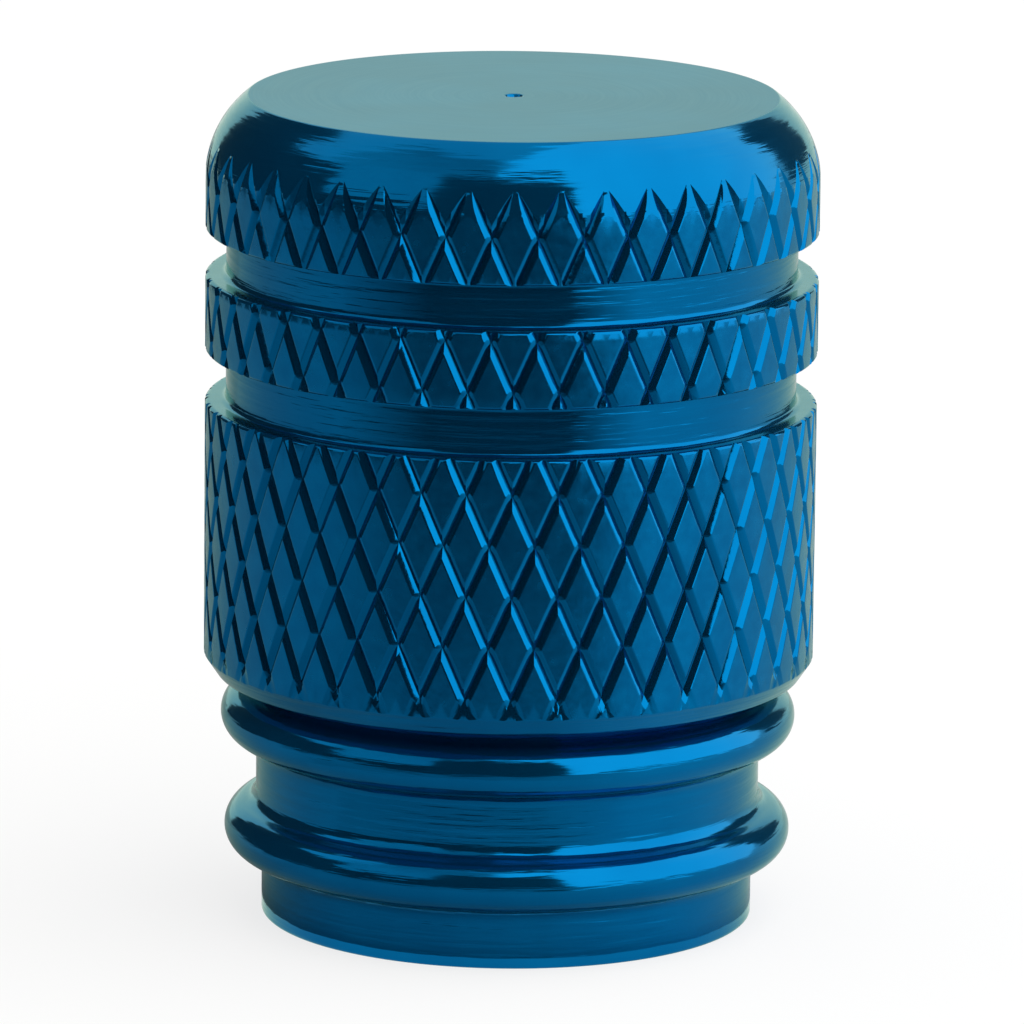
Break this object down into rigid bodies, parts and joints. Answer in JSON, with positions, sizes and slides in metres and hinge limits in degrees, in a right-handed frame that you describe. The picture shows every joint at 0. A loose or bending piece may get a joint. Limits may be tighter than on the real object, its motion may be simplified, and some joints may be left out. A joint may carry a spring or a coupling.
{
  "type": "tyre valve cap",
  "caption": "Screw-on tyre valve cap of turned, blue anodised aluminium: diamond-knurled bands parted by turned grooves over beaded rings, with a sealing washer inside.",
  "frame": {"origin": "centre of the mouth, on the plane of the lip's rim", "axes": "+Z along the cap's axis from the mouth to the flat top; the picture looks along +Y"},
  "size_m": [0.012, 0.012, 0.0163],
  "materials": {
    "anodised_aluminium": "turned and diamond-knurled, then anodised and dyed blue; bright satin",
    "black_rubber": "stamped sheet rubber, matt"
  },
  "bodies": {
    "root": {"cap_body": "anodised_aluminium", "sealing_washer": "black_rubber"}
  },
  "joints": []
}
